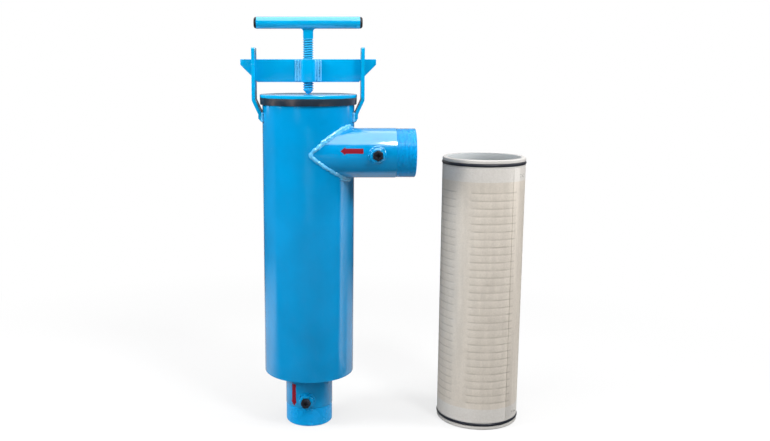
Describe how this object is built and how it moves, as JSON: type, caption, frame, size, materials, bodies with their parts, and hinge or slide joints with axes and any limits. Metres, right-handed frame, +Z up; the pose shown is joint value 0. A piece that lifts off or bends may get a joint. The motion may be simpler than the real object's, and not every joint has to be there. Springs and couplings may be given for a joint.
{
  "type": "irrigation screen filter",
  "caption": "Screen filter: upright tube housing on its outlet pipe, tangential inlet, screw-clamped flat lid, and its mesh-wrapped slotted tube element standing beside it.",
  "frame": {"origin": "middle of the outlet's open end, on the housing's axis", "axes": "+Z up along the housing's axis; +X the way the inlet pipe points; the inlet's axis is on the -Y side of the housing's"},
  "size_m": [0.5278, 0.1938, 0.7614],
  "materials": {
    "blue_paint": "glossy sky-blue epoxy coat on steel",
    "plug_plastic": "moulded black plastic",
    "gasket_rubber": "black rubber, satin",
    "cap_plastic": "black plastic",
    "screen_plastic": "light grey rigid plastic pipe",
    "wire_cloth": "fine woven stainless wire cloth",
    "oring_rubber": "black rubber"
  },
  "bodies": {
    "housing": {"shell_tube": "blue_paint", "bottom_plate": "blue_paint", "lower_seat_ring": "blue_paint", "upper_seat_ring": "blue_paint", "inlet_pipe": "blue_paint", "outlet_pipe": "blue_paint", "inlet_gauge_socket": "blue_paint", "outlet_gauge_socket": "blue_paint", "inlet_gauge_plug": "plug_plastic", "outlet_gauge_plug": "plug_plastic", "left_strap": "blue_paint", "right_strap": "blue_paint", "lid_gasket": "gasket_rubber"},
    "lid": {"lid_plate": "blue_paint"},
    "yoke": {"yoke_bar_left": "blue_paint", "yoke_bar_right": "blue_paint", "yoke_nut": "blue_paint", "yoke_weld_beads": "blue_paint"},
    "point": {"screw_point": "blue_paint"},
    "screw": {"clamp_screw": "blue_paint", "tee_handle": "blue_paint", "handle_cap_left": "cap_plastic", "handle_cap_right": "cap_plastic"},
    "screen": {"screen_support_tube": "screen_plastic", "screen_mesh": "wire_cloth", "screen_seam_strip": "wire_cloth", "screen_top_collar": "screen_plastic", "screen_bottom_collar": "screen_plastic", "screen_top_oring": "oring_rubber", "screen_bottom_oring": "oring_rubber"}
  },
  "joints": [
    {"name": "yoke_slide", "type": "slide", "parent": "housing", "child": "yoke", "axis": [1, 0, 0], "range_m": [-0.028, 0.028]},
    {"name": "screw_lift", "type": "slide", "parent": "yoke", "child": "point", "axis": [0, 0, 1], "range_m": [0, 0.034]},
    {"name": "screw_turn", "type": "hinge", "parent": "point", "child": "screw", "pos_m": [0, 0, 0.7], "axis": [0, 0, 1], "range_deg": [0, 2880]},
    {"name": "lid_slide", "type": "slide", "parent": "housing", "child": "lid", "axis": [0, -1, 0], "range_m": [0, 0.2]},
    {"name": "screen_lift", "type": "slide", "parent": "housing", "child": "screen", "axis": [0, 0, 1], "range_m": [0, 0.6]}
  ],
  "couplings": [
    {"joint": "screw_lift", "follows": "screw_turn", "m_per_rad": 0.00067376}
  ]
}
